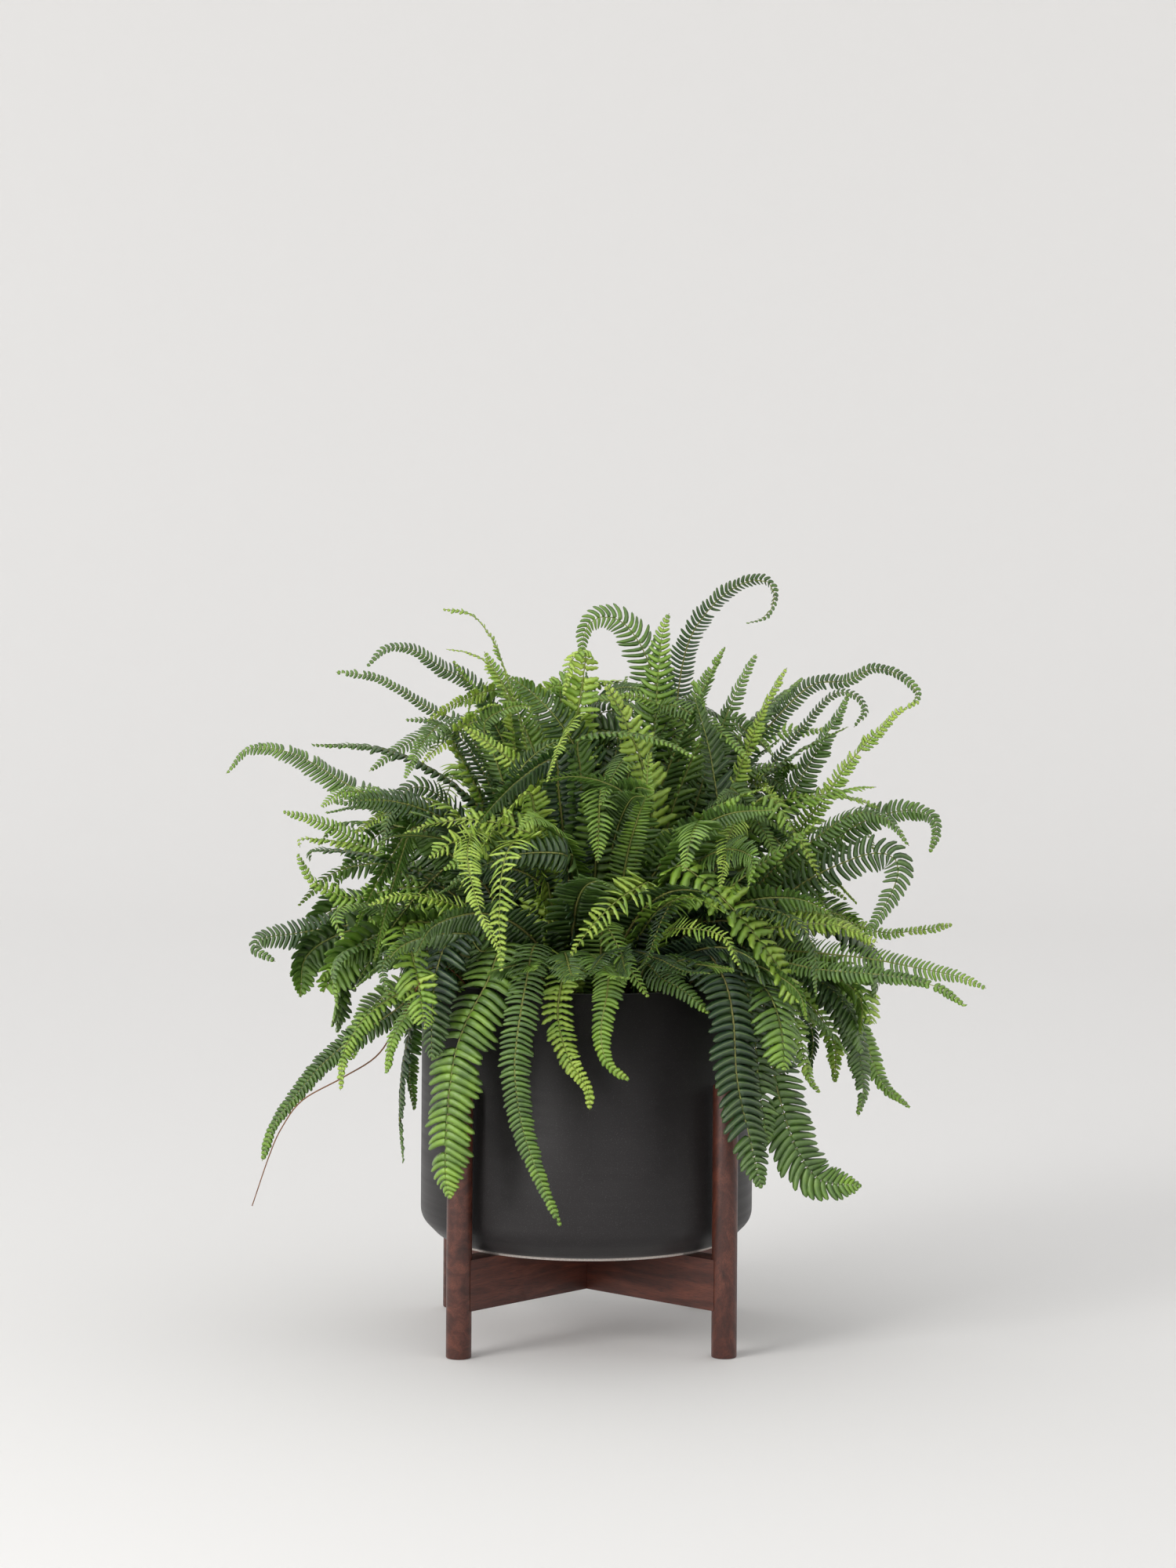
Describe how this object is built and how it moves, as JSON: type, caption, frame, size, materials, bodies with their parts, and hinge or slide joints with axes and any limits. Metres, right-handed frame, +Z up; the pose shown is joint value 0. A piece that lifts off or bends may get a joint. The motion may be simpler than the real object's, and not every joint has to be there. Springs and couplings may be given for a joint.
{
  "type": "potted boston fern",
  "caption": "Arching fern with toothed fronds in a cylindrical planter, held between the round legs of a low wooden cross stand.",
  "frame": {"origin": "on the floor, under the axis that the stand and the planter share", "axes": "+Z up; -Y is the front, as the picture is taken; +X is to the right seen from the front"},
  "size_m": [0.5816, 0.4868, 0.5831],
  "materials": {
    "walnut": "satin",
    "dowel_wood": "matte",
    "planter_glaze": "satin",
    "soil": "matte",
    "rhizome": "matte",
    "runner": "satin",
    "frond_green": "satin",
    "frond_young": "satin"
  },
  "bodies": {
    "root": {"dowel_back_left": "dowel_wood", "dowel_back_right": "dowel_wood", "dowel_front_left": "dowel_wood", "dowel_front_right": "dowel_wood", "frond_back_hang_a": "frond_green", "frond_back_hang_b": "frond_green", "frond_back_hang_left": "frond_green", "frond_back_hang_right": "frond_green", "frond_back_left_a": "frond_green", "frond_back_long": "frond_green", "frond_back_right_a": "frond_green", "frond_back_rising": "frond_green", "frond_hang_front_a": "frond_green", "frond_hang_front_b": "frond_young", "frond_hang_front_c": "frond_green", "frond_hang_left_a": "frond_green", "frond_hang_left_b": "frond_green", "frond_hang_right_a": "frond_green", "frond_hang_right_b": "frond_green", "frond_hang_right_c": "frond_young", "frond_hang_right_d": "frond_green", "frond_hang_right_e": "frond_green", "frond_inner_front_young": "frond_young", "frond_inner_left_dark": "frond_green", "frond_inner_left_young": "frond_young", "frond_inner_right": "frond_green", "frond_left_back_low": "frond_green", "frond_left_long": "frond_green", "frond_left_low_a": "frond_green", "frond_left_low_b": "frond_green", "frond_left_low_long": "frond_green", "frond_left_low_young": "frond_young", "frond_left_mid": "frond_green", "frond_left_mid_curl": "frond_young", "frond_right_back_low": "frond_green", "frond_right_curl": "frond_green", "frond_right_droop": "frond_green", "frond_right_low_a": "frond_young", "frond_right_low_b": "frond_green", "frond_right_low_c": "frond_green", "frond_right_mid": "frond_green", "frond_right_rising": "frond_young", "frond_rim_front": "frond_green", "frond_top_arch": "frond_green", "frond_top_curl_young": "frond_young", "frond_top_left_young": "frond_young", "frond_top_right_curl": "frond_green", "frond_top_upright": "frond_young", "frond_upper_left_a": "frond_green", "frond_upper_left_b": "frond_green", "leg_back_left": "walnut", "leg_back_right": "walnut", "leg_front_left": "walnut", "leg_front_right": "walnut", "planter": "planter_glaze", "rail_lower": "walnut", "rail_upper": "walnut", "rhizome_crown": "rhizome", "runner": "runner", "soil": "soil"}
  },
  "joints": []
}
